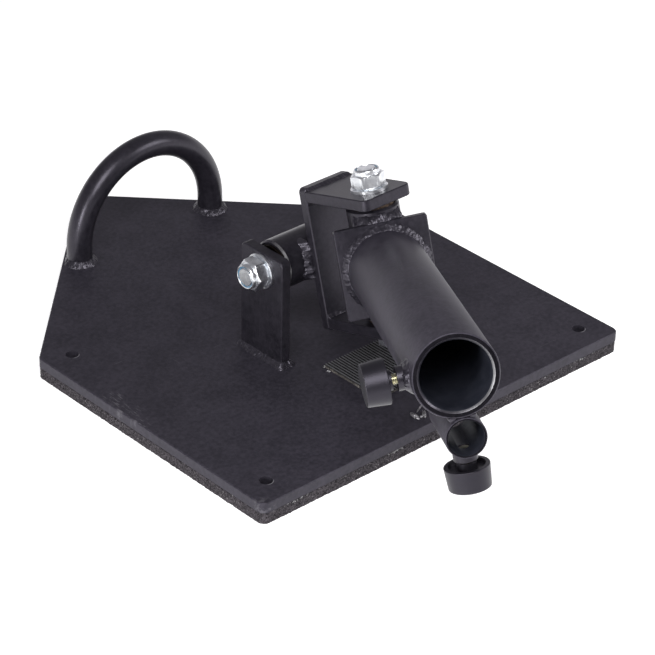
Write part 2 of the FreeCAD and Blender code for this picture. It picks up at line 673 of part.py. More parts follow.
side_axis = turn(AXIS_Y, -90)
down_axis = turn(AXIS_X, 180)
side_start = at(y=f"-{SCREW_AT}") * side_axis
lower_start = at(y=f"-{SCREW_AT}", z=f"-{SMALL_DROP}") * down_axis
TAP = "screw_size + 2 * running_gap"
large_tube = bar_tube("Sleeve", "sleeve_outer", "sleeve_bore", "sleeve_long", "mouth_bevel")
large_tube.Placement = at(y=f"-{SLEEVE_BACK}") * along_bar
large_sleeve = cut("Sleeve_drilled", large_tube, screw_hole("Sleeve_hole", TAP, side_start))
node(large_sleeve, "main_sleeve", swing)
SMALL_BACK = f"({MOUTH} - small_long)"
small_tube = bar_tube("Small_sleeve", "small_outer", "small_bore", "small_long", "small_bevel")
small_tube.Placement = at(y=f"-{SMALL_BACK}", z=f"-{SMALL_DROP}") * along_bar
small_sleeve = cut("Small_drilled", small_tube, screw_hole("Small_hole", TAP, lower_start))
node(small_sleeve, "small_sleeve", swing)


# Threaded bosses: short round pieces shaped to the tube that they are welded to
def tube_core(name, outer, place):
    """The full round of a sleeve, which shapes what is welded to it."""
    core = solid("Cylinder", name, place, Radius=f"{outer} / 2", Height="sleeve_long")
    return core


large_axis = at(y=f"-{SLEEVE_BACK}") * along_bar
small_axis = at(y=f"-{SLEEVE_BACK}", z=f"-{SMALL_DROP}") * along_bar
screws = [
    ("side", side_start, "sleeve_outer", "sleeve_bore", large_axis, "side_feed"),
    ("lower", lower_start, "small_outer", "small_bore", small_axis, "lower_feed"),
]
boss_welds = []
for prefix, start, outer, bore, axis, feed in screws:
    name = prefix.capitalize()
    blank = screw_hole(f"{name}_boss_blank", "boss_wide", start, f"{outer} / 2 + boss_long")
    drill = screw_hole(f"{name}_boss_drill", TAP, start, f"{outer} + boss_long")
    shaped = cut(f"{name}_boss_shaped", blank, tube_core(f"{name}_boss_core", outer, axis))
    node(cut(f"{name}_boss", shaped, drill), f"{prefix}_boss", swing)
    flare = solid("Cone", f"{name}_weld_cone", start * at(z=f"{outer} / 2 - boss_weld"),
                  Radius1="boss_wide / 2 + boss_weld * 1.6", Radius2="boss_wide / 2", Height="boss_weld * 2")
    inside = screw_hole(f"{name}_weld_core", "boss_wide", start)
    ring = cut(f"{name}_weld_ring", flare, tube_core(f"{name}_weld_tube", outer, axis))
    boss_welds.append(cut(f"{name}_boss_weld", ring, inside))

# Welds of the swinging part: tube to plate, plate to sleeve, and sleeve to small sleeve
tube_fill = solid("Box", "Tube_fill", at("-swivel_wide * 0.38", f"-{SQUARE_BACK}", "-square_side / 2"),
                  Length="swivel_wide * 0.76", Width="swivel_wide * 0.22", Height="square_side")
tube_round = solid("Cylinder", "Tube_round", at(z="-square_side / 2"), Radius="swivel_wide / 2",
                   Height="square_side")
tube_weld = cut("Tube_weld", tube_fill, tube_round)
plate_weld = ring_weld("Plate_weld", "sleeve_outer", "weld_leg", large_axis)
FILL_WIDE = "(small_outer * 0.6)"
FILL_TALL = "(small_outer * 0.5)"
fill_place = at(f"-{FILL_WIDE} / 2", f"-{MOUTH} + mouth_bevel", f"-(sleeve_outer / 2 + {FILL_TALL} / 2)")
between = solid("Box", "Between", fill_place, Length=FILL_WIDE, Width="small_long - mouth_bevel",
                Height=FILL_TALL)
above = cut("Between_above", between, tube_core("Between_large", "sleeve_outer", large_axis))
small_weld = cut("Small_weld", above, tube_core("Between_small", "small_outer", small_axis))
welds = [tube_weld, plate_weld, small_weld] + boss_welds
node(group("Sleeve_welds", welds), "sleeve_welds", swing)

# Thumbscrews: a steel stud with a moulded drum knob, which is hollow round its hub
for prefix, start, outer, bore, axis, feed in screws:
    name = prefix.capitalize()
    hub = f"({outer} / 2 + boss_long + {feed})"
    rim = f"({hub} + hub_long)"
    top = f"({rim} + knob_high)"
    floor = f"({rim} + knob_hollow)"
    stud_end = f"({rim} + stud_in_knob)"
    tip = f"({bore} / 2 + tip_gap)"
    bevel = "screw_size * 0.1"
    stud = revolved(f"{name}_stud", [
        ("0", tip), (f"screw_size / 2 - {bevel}", tip), ("screw_size / 2", f"{tip} + {bevel}"),
        ("screw_size / 2", stud_end), ("0", stud_end)])
    node(stud, f"{prefix}_screw_stud", swing * start)
    hole = "screw_size / 2 + running_gap"
    knob = revolved(f"{name}_knob", [
        (hole, hub), ("hub_wide / 2", hub), ("hub_wide / 2", floor),
        ("knob_wide / 2 - knob_rim", floor), ("knob_wide / 2 - knob_rim", rim),
        ("knob_wide / 2", rim), ("knob_narrow / 2", top), ("0", top),
        ("0", f"{stud_end} + tip_gap"), (hole, f"{stud_end} + tip_gap")])
    level = value(top)
    knob_edges = outline_edges(knob.Shape, AXIS_Z, level) + outline_edges(knob.Shape, AXIS_Z, value(rim))
    dress(knob, "Fillet", f"{name}_knob_edges", knob_edges, Radius="knob_round * 0.8")
    node(knob, f"{prefix}_screw_knob", swing * start)

# Test every object, then write each node's file
doc.recompute()
for thing in doc.Objects:
    assert "Invalid" not in thing.State and "Error" not in thing.State, f"{thing.Name}: {thing.State}"
os.makedirs("parts", exist_ok=True)
for thing in nodes:
    assert not thing.Shape.isNull() and thing.Shape.isValid(), f"{thing.Label}: bad shape"
for thing in nodes:
    box = thing.Shape.BoundBox
    corners = [round(number, 1) for number in (box.XMin, box.YMin, box.ZMin, box.XMax, box.YMax, box.ZMax)]
    print(thing.Label, len(thing.Shape.Solids), "solids", round(thing.Shape.Volume), "mm3", corners)
    thing.Shape.exportStep(f"parts/{thing.Label}.step")
print(len(nodes), "nodes")
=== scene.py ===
"""Looks of the barbell pivot attachment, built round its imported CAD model. Sizes are in metres."""
import math
import bpy
from mathutils import Matrix, Vector, noise


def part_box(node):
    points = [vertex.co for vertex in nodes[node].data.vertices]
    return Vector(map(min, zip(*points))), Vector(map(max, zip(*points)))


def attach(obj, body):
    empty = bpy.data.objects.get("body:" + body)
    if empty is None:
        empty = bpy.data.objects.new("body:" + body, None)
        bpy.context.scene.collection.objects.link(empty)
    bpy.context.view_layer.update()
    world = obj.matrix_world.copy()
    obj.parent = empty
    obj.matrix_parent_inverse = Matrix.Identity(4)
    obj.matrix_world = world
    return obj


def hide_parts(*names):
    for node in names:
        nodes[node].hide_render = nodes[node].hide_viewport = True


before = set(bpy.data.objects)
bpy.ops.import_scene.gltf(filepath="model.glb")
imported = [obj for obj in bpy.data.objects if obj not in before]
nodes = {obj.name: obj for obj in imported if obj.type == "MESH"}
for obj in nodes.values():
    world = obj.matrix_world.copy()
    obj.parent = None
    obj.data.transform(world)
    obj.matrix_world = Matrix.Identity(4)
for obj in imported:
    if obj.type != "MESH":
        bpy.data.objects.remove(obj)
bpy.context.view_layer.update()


# Rubber mat: a sheet of pressed tyre crumb under the whole plate. Its cut side is rough, with
# torn crumbs and pale fibres, and it is drawn in a little just under the plate.
MM = 0.001
MAT_THICK = 9.5 * MM
MAT_SHOULDER = 133.0 * MM
mat_low, mat_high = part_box("rubber_mat")
MAT_CORNERS = [(mat_low.x, mat_low.y), (mat_high.x, mat_low.y), (mat_high.x, MAT_SHOULDER),
               (0.0, mat_high.y + 2.6 * MM), (mat_low.x, MAT_SHOULDER)]


class Value:
    """A socket in a material, so that shader maths can be written with the usual signs."""

    def __init__(self, look, socket):
        self.look = look
        self.socket = socket

    def __add__(self, other):
        return self.look.maths("ADD", self, other)

    def __radd__(self, other):
        return self.look.maths("ADD", other, self)

    def __sub__(self, other):
        return self.look.maths("SUBTRACT", self, other)

    def __rsub__(self, other):
        return self.look.maths("SUBTRACT", other, self)

    def __mul__(self, other):
        return self.look.maths("MULTIPLY", self, other)

    def __rmul__(self, other):
        return self.look.maths("MULTIPLY", other, self)

    def rise(self, low, high):
        """0 below low and 1 above high, with a smooth rise between them."""
        return self.look.node("ShaderNodeMapRange", {"interpolation_type": "SMOOTHSTEP"},
                              {0: self, 1: low, 2: high})


class Shading:
    """The nodes of a material or of the world."""

    def __init__(self, owner, shader, place):
        owner.use_nodes = True
        self.tree = owner.node_tree
        self.shader = self.tree.nodes[shader]
        self.place = self.node("ShaderNodeTexCoord", out=place)

    def node(self, kind, settings=None, sockets=None, out=0):
        """Add a node: its settings first, then the values or links of its sockets."""
        node = self.tree.nodes.new(kind)
        for name, setting in (settings or {}).items():
            setattr(node, name, setting)
        for name, given in (sockets or {}).items():
            if isinstance(given, Value):
                self.tree.links.new(given.socket, node.inputs[name])
            else:
                node.inputs[name].default_value = given
        return Value(self, node.outputs[out])

    def maths(self, operation, first, second=0.0):
        return self.node("ShaderNodeMath", {"operation": operation}, {0: first, 1: second})

    def noise(self, scale, detail=3.0, rough=0.55, place=None):
        return self.node("ShaderNodeTexNoise", None, {
            "Vector": place or self.place, "Scale": scale, "Detail": detail, "Roughness": rough})

    def stretched(self, stretch, turn=0.0):
        """The place, turned about Z and then stretched by a factor along each axis."""
        return self.node("ShaderNodeMapping", None, {
            "Vector": self.place, "Rotation": (0.0, 0.0, turn), "Scale": stretch})

    def near(self, point, reach):
        """1 at a point and 0 further away than the reach."""
        gap = self.node("ShaderNodeVectorMath", {"operation": "DISTANCE"},
                        {0: self.place, 1: point}, "Value")
        return 1 - gap.rise(reach * 0.25, reach)

    def along(self, axis):
        return self.node("ShaderNodeSeparateXYZ", None, {0: self.place}, axis)

    def mix(self, first, second, share):
        return self.node("ShaderNodeMix", {"data_type": "RGBA"}, {0: share, 6: first, 7: second}, 2)

    def bump(self, height, depth, under=None):
        """Surface relief of a depth in metres, on top of what lies under it."""
        sockets = {"Height": height, "Distance": depth, "Strength": 1.0}
        if under:
            sockets["Normal"] = under
        return self.node("ShaderNodeBump", None, sockets)

    def feed(self, socket, given):
        if isinstance(given, Value):
            self.tree.links.new(given.socket, self.shader.inputs[socket])
        else:
            self.shader.inputs[socket].default_value = given


class Look(Shading):
    """A material with one Principled shader and some sockets set to constants."""

    def __init__(self, name, **constants):
        self.material = bpy.data.materials.new(name)
        super().__init__(self.material, "Principled BSDF", "Object")
        for socket, constant in constants.items():
            self.feed(socket.replace("_", " "), constant)


def tone(level, red=1.0, green=1.0, blue=1.0):
    return (level * red, level * green, level * blue, 1.0)


def dress(look, *names):
    """Give CAD nodes a finished material."""
    for name in names:
        for slot in nodes[name].material_slots:
            slot.material = look.material


def add_piece(name, points, faces, look, body, replaced=None, place=Matrix(), sharp=None):
    """Make a mesh piece in a local place and let it ride on a body. Edges sharper than an angle
    in degrees show as edges, and none of them is smooth where the angle is 0."""
    mesh = bpy.data.meshes.new(name)
    mesh.from_pydata([place @ Vector(point) for point in points], [], faces)
    mesh.validate()
    mesh.materials.append(look.material)
    for face in mesh.polygons:
        face.use_smooth = sharp != 0
    if sharp:
        mesh.set_sharp_from_angle(angle=math.radians(sharp))
    piece = bpy.data.objects.new(name, mesh)
    bpy.context.scene.collection.objects.link(piece)
    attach(piece, body)
    if replaced:
        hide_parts(replaced)
    return piece


def ruff(point, scale, seed=0.0):
    """Smooth random number from -1 to 1 at a point."""
    return noise.noise(Vector(point) * scale + Vector((seed, seed * 1.7, seed * 0.6)))


def rounded_outline(corners, radius, gap):
    """Points along a polygon with rounded corners, about a gap apart, each with its outward way."""
    outline = []
    count = len(corners)
    for index, corner in enumerate(corners):
        here = Vector(corner)
        back = (Vector(corners[index - 1]) - here).normalized()
        ahead = (Vector(corners[(index + 1) % count]) - here).normalized()
        half = back.angle(ahead) / 2
        centre = here + (back + ahead).normalized() * (radius / math.sin(half))
        start = here + back * (radius / math.tan(half)) - centre
        end = here + ahead * (radius / math.tan(half)) - centre
        steps = max(4, round(radius * start.angle(end) / gap))
        for step in range(steps + 1):
            way = start.slerp(end, step / steps).normalized()
            outline.append((centre + way * radius, way))
        run_start = centre + end
        following = Vector(corners[(index + 1) % count])
        after = (Vector(corners[(index + 2) % count]) - following).normalized()
        stop = following - ahead * (radius / math.tan((-ahead).angle(after) / 2))
        run = stop - run_start
        pieces = max(1, round(run.length / gap))
        for step in range(1, pieces):
            outline.append((run_start + run * (step / pieces), end.normalized()))
    return outline


def tube_faces(rings, steps, closed_ends=False):
    """Faces between rings of points, one ring after the other, with flat ends if wanted."""
    faces = []
    for ring in range(rings - 1):
        for step in range(steps):
            after = (step + 1) % steps
            faces.append((ring * steps + step, ring * steps + after,
                          (ring + 1) * steps + after, (ring + 1) * steps + step))
    if closed_ends:
        faces.append(tuple(range(steps - 1, -1, -1)))
        faces.append(tuple(range((rings - 1) * steps, rings * steps)))
    return faces


def torn(place, way, height):
    """How far the mat's cut side stands out, or is torn, or drawn in on the left side."""
    spot = (*place, height)
    drawn_in = max(0.0, height - 8.2 * MM) * (0.9 + 0.4 * ruff(spot, 30.0, 9.0)) * max(0.0, -way.x) ** 4
    return (ruff(spot, 700.0, 1.0) * 0.45 + ruff(spot, 170.0, 2.0) * 0.35) * MM - drawn_in


crumb = Look("rubber_crumb", Roughness=0.9, Specular_IOR_Level=0.3)
cells = crumb.node("ShaderNodeTexVoronoi", None, {"Vector": crumb.place, "Scale": 950.0}, "Color")
cell_gap = crumb.node("ShaderNodeTexVoronoi", None, {"Vector": crumb.place, "Scale": 950.0}, "Distance")
chance = crumb.node("ShaderNodeSeparateColor", None, {0: cells})
fibre = crumb.noise(420.0, 4.0, 0.65).rise(0.56, 0.70)
rubbed = crumb.noise(38.0, 3.0).rise(0.35, 0.7)
crumb_colour = crumb.mix(tone(0.010, 1.10, 0.95, 1.15), tone(0.100, 1.08, 0.96, 1.08), chance)
crumb_colour = crumb.mix(crumb_colour, tone(0.12, 1.08, 0.98, 1.04), fibre * 0.5)
crumb_colour = crumb.mix(crumb_colour, tone(0.28, 1.04, 1.0, 1.0), chance.rise(0.94, 0.99) * rubbed)
in_front = 1 - crumb.along("Y").rise(-143.0 * MM, -141.0 * MM)
seam = crumb.along("Z").rise(7.4 * MM, 8.8 * MM) * crumb.noise(52.0, 2.0).rise(0.50, 0.60) * in_front
crumb_colour = crumb.mix(crumb_colour, tone(0.55), seam * chance.rise(0.55, 0.8) * 0.8)
crumb.feed("Base Color", crumb_colour)
grain = crumb.bump(crumb.noise(1500.0, 3.0), 0.0004)
crumb.feed("Normal", crumb.bump(1 - cell_gap, 0.0006, grain))

mat_outline = rounded_outline(MAT_CORNERS, 7.0 * MM, 1.1 * MM)
MAT_ROWS = 11
mat_points = []
for row in range(MAT_ROWS + 1):
    height = MAT_THICK * row / MAT_ROWS
    for place, way in mat_outline:
        side = place + way * torn(place, way, height)
        mat_points.append((side.x, side.y, height))
mat = add_piece("mat_sheet", mat_points, tube_faces(MAT_ROWS + 1, len(mat_outline), True), crumb, "base",
                "rubber_mat", sharp=0)


# Base plate: flame-cut mild steel, bevelled at its edges and powder-coated satin black. It is
# faintly clouded, with rubbed marks by its left edge and a few hair scratches.
PLATE_TOP = 19.0 * MM


def powder_coat(name, level=1.0, rough=0.5, shine=0.4):
    """Satin black powder coat on steel."""
    coat = Look(name, Specular_IOR_Level=shine, Specular_Tint=(0.90, 0.85, 1.0, 1.0))
    cloud = coat.noise(38.0, 4.0, 0.6)
    mottle = coat.noise(260.0, 4.0, 0.65)
    fine = coat.noise(800.0, 3.0)
    speck = coat.noise(1000.0, 1.0, 0.4).rise(0.75, 0.80)
    dark = tone(0.0075 * level, 1.08, 1.0, 1.42)
    light = tone(0.0205 * level, 1.10, 1.0, 1.32)
    colour = coat.mix(dark, light, (cloud * 0.35 + mottle * 0.65).rise(0.32, 0.68))
    colour = coat.mix(colour, tone(0.06, 1.0, 1.0, 1.05), speck * 0.45)
    # Edges found with the Bevel node are painted lighter, most where the coat is mottled: a painted highlight
    # along the small radii. The coat is also glossier there.
    flat = coat.node("ShaderNodeNewGeometry", out="Normal")
    rounded = coat.node("ShaderNodeBevel", {"samples": 6}, {"Radius": 0.7 * MM})
    facing = coat.node("ShaderNodeVectorMath", {"operation": "DOT_PRODUCT"},
                       {0: flat, 1: rounded}, "Value")
    edge_highlight = (1 - facing).rise(0.04, 0.30)
    colour = coat.mix(colour, tone(0.055, 1.05, 1.0, 1.2), edge_highlight * (mottle.rise(0.3, 0.6) * 0.6 + 0.15))
    coat.feed("Base Color", colour)
    coat.roughness = (cloud * 0.10 + mottle * 0.14) + (rough - 0.12) - edge_highlight * 0.12
    coat.feed("Roughness", coat.roughness)
    peel = coat.bump(coat.noise(420.0, 2.0), 0.00005)
    coat.relief = coat.bump(fine, 0.00003, peel)
    coat.colour = colour
    coat.feed("Normal", coat.relief)
    return coat


plate_coat = powder_coat("plate_coat", 1.8, 0.56, 0.5)
hair = plate_coat.noise(30.0, 4.0, 0.6, plate_coat.stretched((1.0, 30.0, 1.0), 1.15)).rise(0.66, 0.74)
cross = plate_coat.noise(26.0, 4.0, 0.6, plate_coat.stretched((26.0, 1.0, 1.0), 0.3)).rise(0.69, 0.76)
strokes = plate_coat.noise(60.0, 5.0, 0.7, plate_coat.stretched((9.0, 2.0, 1.0))).rise(0.50, 0.66)
where = plate_coat.noise(9.0, 2.0).rise(0.44, 0.62)
rub = (plate_coat.near((-0.188, 0.045, PLATE_TOP), 0.014) + plate_coat.near((-0.192, 0.024, PLATE_TOP), 0.016)
       + plate_coat.near((-0.194, 0.004, PLATE_TOP), 0.010))
corner = plate_coat.near((-0.196, -0.1445, 0.014), 0.016) * plate_coat.noise(200.0, 4.0).rise(0.50, 0.64)
marks = (hair + cross) * where * 0.28 + rub * strokes * 0.75 + corner * 0.5
colour = plate_coat.mix(plate_coat.colour, tone(0.16, 1.02, 0.98, 1.08), marks)
HOLE_X = 172.0 * MM
HOLE_Y = 120.0 * MM
from_above = plate_coat.node("ShaderNodeCombineXYZ", None,
                             {0: plate_coat.along("X"), 1: plate_coat.along("Y")})
# A crescent on one side of each hole's rim is painted pale, metallic and glossier: a painted highlight on the
# hole's chamfer.
hole_rim_highlight = 0.0
for x in (-HOLE_X, HOLE_X):
    for y in (-HOLE_Y, HOLE_Y):
        gap = plate_coat.node("ShaderNodeVectorMath", {"operation": "DISTANCE"},
                              {0: from_above, 1: (x, y, 0.0)}, "Value")
        rim = 1 - gap.rise(5.9 * MM, 6.3 * MM)
        hole_rim_highlight = hole_rim_highlight + rim * plate_coat.near((x + 1.5 * MM, y - 6.0 * MM, PLATE_TOP), 5.5 * MM)
plate_coat.feed("Base Color", plate_coat.mix(colour, tone(0.50, 1.0, 0.98, 1.04), hole_rim_highlight * 0.8))
plate_coat.feed("Metallic", hole_rim_highlight * 0.8)
plate_coat.feed("Roughness", plate_coat.roughness - hole_rim_highlight * 0.25 - corner * 0.2)
dress(plate_coat, "base_plate")


# Carry handle: 22 mm round bar bent to an arch and welded to the plate at both feet. Its coat
# is a little glossier than the plate's, because it ran together on the round.
tube_coat = powder_coat("tube_coat", 0.85, 0.32, 0.55)
dress(tube_coat, "carry_handle")

weld_coat = powder_coat("weld_coat", 1.0, 0.34, 0.7)
beaded = weld_coat.bump(weld_coat.noise(400.0, 2.0, 0.5), 0.0004, weld_coat.relief)
weld_coat.feed("Normal", beaded)


def fillet_bead(route, leg, seed, closed=False, bulge=0.14, lumps=0.22, pitch=2.3 * MM, across=12):
    """Mesh of a hand-laid weld bead. Each step of the route is a corner point, the ways along
    the two surfaces that meet there, and the distance from the route's start."""
    points = []
    faces = []
    rings = len(route)
    wide = across + 1
    length = route[-1][3] - route[0][3]
    waves = round(length / pitch)
    for corner, first, second, run in route:
        legs = [leg * (1.0 + lumps * ruff(corner, 130.0, seed + side)
                       + 0.14 * ruff(corner, 480.0, seed + side)) for side in (0.0, 7.0)]
        strength = max(0.0, 0.012 + 0.03 * ruff(corner, 90.0, seed + 3.0))
        for step in range(wide):
            turn = math.pi / 2 * step / across
            share = math.sin(turn) ** 2
            flat = first * legs[0] * (1 - share) + second * legs[1] * share
            bend = (step / across - 0.5) ** 2 * 1.8 + 0.8 * ruff(corner, 190.0, seed + 5.0)
            wave = math.sin((run / length * waves + bend) * math.tau)
            lump = 0.17 * ruff(corner + flat, 260.0, seed) + 0.12 * ruff(corner + flat, 620.0, seed)
            swell = 1.0 + (bulge + strength * wave + lump) * math.sin(turn * 2)
            points.append(corner + flat * swell - (first + second) * 0.3 * MM)
    for ring in range(rings if closed else rings - 1):
        start = ring * wide
        after = ((ring + 1) % rings) * wide
        for step in range(across):
            faces.append((start + step, after + step, after + step + 1, start + step + 1))
    if not closed:
        for ring, turned_round in ((0, False), (rings - 1, True)):
            middle = len(points)
            points.append(route[ring][0] - (route[ring][1] + route[ring][2]) * 0.3 * MM)
            for step in range(across):
                face = (ring * wide + step, ring * wide + step + 1, middle)
                faces.append(face[::-1] if turned_round else face)
    return points, faces


def joined(meshes):
    """One mesh of several."""
    points = []
    faces = []
    for mesh_points, mesh_faces in meshes:
        start = len(points)
        points += list(mesh_points)
        faces += [tuple(start + index for index in face) for face in mesh_faces]
    return points, faces


def bead_piece(name, beads, body, replaced=None, place=Matrix()):
    """Several beads as one piece."""
    bead = add_piece(name, *joined(beads), weld_coat, body, replaced, place)
    return bead


def ring_route(radius, steps, centre=Vector((0, 0, 0)), rise=None, room=None):
    """A closed route round an upright bar on a flat plate, or on a shape with a rise. Where
    there is little room, the bead is narrower."""
    route = []
    for step in range(steps):
        turn = math.tau * step / steps
        outward = Vector((math.cos(turn), math.sin(turn), 0))
        corner = centre + outward * radius
        if rise:
            slope = (rise(corner + outward * MM) - rise(corner)) / MM
            corner.z += rise(corner)
            outward = (outward + Vector((0, 0, slope))).normalized()
        if room:
            outward = outward * room(corner, outward)
        route.append((corner, outward, Vector((0, 0, 1)), radius * turn))
    return route


HANDLE_FOOT = 73.0 * MM
HANDLE_BACK = 237.0 * MM
FOOT_LEG = 4.6 * MM
APEX = 332.0 * MM
slant = Vector((-199.0, 196.0, 0.0)).normalized()


def foot_room(corner, outward):
    """Share of the bead's leg that stays on the plate beside its slanted edge."""
    mirrored = Vector((-abs(corner.x), corner.y, 0))
    way = Vector((-abs(outward.x), outward.y, 0))
    left = -slant.dot(mirrored - Vector((0, APEX, 0))) - 0.8 * MM
    towards = max(0.05, slant.dot(way))
    return min(1.0, left / towards / (FOOT_LEG * 1.25))


foot_beads = []
for side in (-1, 1):
    foot = Vector((side * HANDLE_FOOT, HANDLE_BACK, PLATE_TOP))
    route = ring_route(11.0 * MM, 220, foot, room=foot_room)
    foot_beads.append(fillet_bead(route, FOOT_LEG, 3.0 + side, closed=True, lumps=0.25))
bead_piece("handle_beads", foot_beads, "base", "handle_welds")


# Clevis: two ears cut from 9.5 mm plate, their top corners rounded, welded all round their
# feet. Their cut edges keep the fine upright lines of the flame.
PIVOT = Vector((3.0, 19.0, 99.0)) * MM
UP = Vector((0, 0, 1))
EAR_MIDDLE = 54.75 * MM
ear_coat = powder_coat("ear_coat", 0.9, 0.45, 0.45)
drag_lines = ear_coat.noise(60.0, 2.0, 0.5, ear_coat.stretched((6.0, 22.0, 0.6)))
ear_coat.feed("Normal", ear_coat.bump(drag_lines, 0.00010, ear_coat.relief))
dress(ear_coat, "left_clevis_ear", "right_clevis_ear")


def straight_route(start, end, first, second, gap=0.5 * MM):
    run = end - start
    steps = max(2, round(run.length / gap))
    return [(start + run * (step / steps), first, second, run.length * step / steps)
            for step in range(steps + 1)]


def foot_route(half_x, half_y, centre):
    """A closed route round a rectangular foot, turned smoothly at its corners."""
    route = []
    run = 0.0
    corners = [(1, -1), (1, 1), (-1, 1), (-1, -1)]
    for index, (side_x, side_y) in enumerate(corners):
        corner = centre + Vector((side_x * half_x, side_y * half_y, 0))
        next_x, next_y = corners[(index + 1) % 4]
        following = centre + Vector((next_x * half_x, next_y * half_y, 0))
        side_way = Vector((side_x, 0, 0)) if side_x == next_x else Vector((0, side_y, 0))
        before = Vector((0, side_y, 0)) if side_x == next_x else Vector((side_x, 0, 0))
        for step in range(1, 6):
            route.append((corner, before.slerp(side_way, step / 6), UP, run + step * 0.6 * MM))
        run += 3.6 * MM
        for place, first, second, along in straight_route(corner, following, side_way, UP):
            route.append((place, first, second, run + along))
        run += (following - corner).length
    return route


ear_beads = []
for side in (-1, 1):
    foot = Vector((PIVOT.x + side * EAR_MIDDLE, PIVOT.y, PLATE_TOP))
    route = foot_route(4.75 * MM, 25.0 * MM, foot)
    ear_beads.append(fillet_bead(route, 4.4 * MM, 7.0 + side, closed=True, lumps=0.28, bulge=0.05))
bead_piece("ear_beads", ear_beads, "base", "clevis_welds")


# Ribbed pad: a square of moulded rubber glued to the plate, so that the sleeve can't scrape it.
# Its ribs run front to back, glossier on their crowns, which also carry a painted highlight, and old glue
# shows along its side.
RIBS = 22
RIB_WIDE = 1.5 * MM
RIB_PITCH = 2.9 * MM
PAD_BASE = 1.6 * MM
pad_low, pad_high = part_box("ribbed_pad")
PAD_TOP = pad_high.z - PLATE_TOP
pad_rubber = Look("pad_rubber", Specular_IOR_Level=0.8)
pad_dust = pad_rubber.noise(300.0, 4.0)
# The rib crowns are painted lighter, a painted highlight, and are glossier.
crown_highlight = pad_rubber.along("Z").rise(PLATE_TOP + PAD_BASE + 0.6 * MM, PLATE_TOP + PAD_TOP * 0.95)
pad_colour = pad_rubber.mix(tone(0.004, 1.0, 1.0, 1.15), tone(0.110, 1.0, 1.0, 1.08),
                            crown_highlight * (pad_dust * 0.5 + 0.6))
pad_rubber.feed("Roughness", 0.95 - crown_highlight * 0.65)
side_edge = 1 - pad_rubber.along("X").rise(pad_low.x + 0.2 * MM, pad_low.x + 0.9 * MM)
front_edge = 1 - pad_rubber.along("Y").rise(pad_low.y + 0.2 * MM, pad_low.y + 0.9 * MM)
glue = (side_edge + front_edge) * pad_dust.rise(0.25, 0.6)
glue_colour = pad_rubber.mix(tone(0.075, 1.12, 1.0, 0.92), tone(0.26, 1.08, 0.98, 0.90),
                             pad_rubber.noise(130.0, 3.0).rise(0.5, 0.72))
pad_rubber.feed("Base Color", pad_rubber.mix(pad_colour, glue_colour, glue))
pad_rubber.feed("Normal", pad_rubber.bump(pad_rubber.noise(1300.0, 3.0), 0.00006))

first_rib = (pad_low.x + pad_high.x - (RIBS - 1) * RIB_PITCH - RIB_WIDE) / 2
outline = [(pad_low.x, 0.0), (pad_low.x, PAD_BASE)]
for rib in range(RIBS):
    start = first_rib + rib * RIB_PITCH
    for share, height in ((0.0, 0.0), (0.03, 0.45), (0.14, 0.80), (0.32, 0.96), (0.5, 1.0),
                          (0.68, 0.96), (0.86, 0.80), (0.97, 0.45), (1.0, 0.0)):
        outline.append((start + share * RIB_WIDE, PAD_BASE + height * (PAD_TOP - PAD_BASE)))
outline += [(pad_high.x, PAD_BASE), (pad_high.x, 0.0)]
PAD_ROWS = 48
pad_points = []
for row in range(PAD_ROWS + 1):
    along = pad_low.y + (pad_high.y - pad_low.y) * row / PAD_ROWS
    for x, height in outline:
        wander = ruff((x, along, 0.0), 50.0, 5.0) * 0.12 * MM
        wear_and_highlight = abs(ruff((x, along, 1.0), 160.0, 6.0)) * 0.12 * MM if height > PAD_BASE else 0.0
        pad_points.append((min(pad_high.x, max(pad_low.x, x + wander)), along, PLATE_TOP + height - wear_and_highlight))
wide = len(outline)
pad_faces = [(row * wide + index, row * wide + index + 1,
              (row + 1) * wide + index + 1, (row + 1) * wide + index)
             for row in range(PAD_ROWS) for index in range(wide - 1)]
pad_faces.append(tuple(range(wide - 1, -1, -1)))
pad_faces.append(tuple(range(PAD_ROWS * wide, (PAD_ROWS + 1) * wide)))
pad_sheet = add_piece("pad_sheet", pad_points, pad_faces, pad_rubber, "base", "ribbed_pad", sharp=48)


# Spatter: drops of bare weld metal that stuck to the plate, two of them at the pad's corner
# and a cluster in front of it. They are bright, because the coat came off them.
spatter_metal = Look("spatter_metal", Metallic=0.75, Roughness=0.28)
spatter_metal.feed("Base Color", spatter_metal.mix(tone(0.10), tone(0.50, 1.0, 0.98, 1.03),
                                                   spatter_metal.noise(330.0, 3.0).rise(0.35, 0.65)))
spatter_metal.feed("Normal", spatter_metal.bump(spatter_metal.noise(500.0, 3.0), 0.0008))


def drop(x, y, wide, deep, high, turn, seed):
    """Mesh of one drop of metal on the plate, longer one way than the other."""
    rings = 7
    steps = 22
    points = []
    for ring in range(rings):
        lift = math.pi / 2 * ring / rings
        for step in range(steps):
            way = math.tau * step / steps
            ragged = 1.0 + 0.32 * ruff((math.cos(way), math.sin(way), lift), 1.3, seed)
            along = wide * math.cos(way) * math.cos(lift) * ragged
            across = deep * math.sin(way) * math.cos(lift) * ragged
            points.append(((x + along * math.cos(turn) - across * math.sin(turn)) * MM,
                           (y + along * math.sin(turn) + across * math.cos(turn)) * MM,
                           PLATE_TOP + (high * math.sin(lift) * ragged - 0.1) * MM))
    return points, tube_faces(rings, steps, True)


drops = [drop(-28.9, -27.8, 1.5, 1.4, 1.7, 0.0, 1.0), drop(-30.9, -35.3, 1.4, 1.9, 1.4, 0.3, 2.0),
         drop(-24.1, -129.3, 5.3, 2.0, 2.4, 1.57, 3.0), drop(-16.7, -131.7, 4.7, 1.8, 2.6, 1.01, 4.0),
         drop(-13.8, -122.9, 6.2, 0.8, 1.0, 0.47, 5.0), drop(-20.6, -132.5, 1.8, 1.4, 1.4, 0.0, 6.0)]
spatter = add_piece("weld_spatter", *joined(drops), spatter_metal, "base")


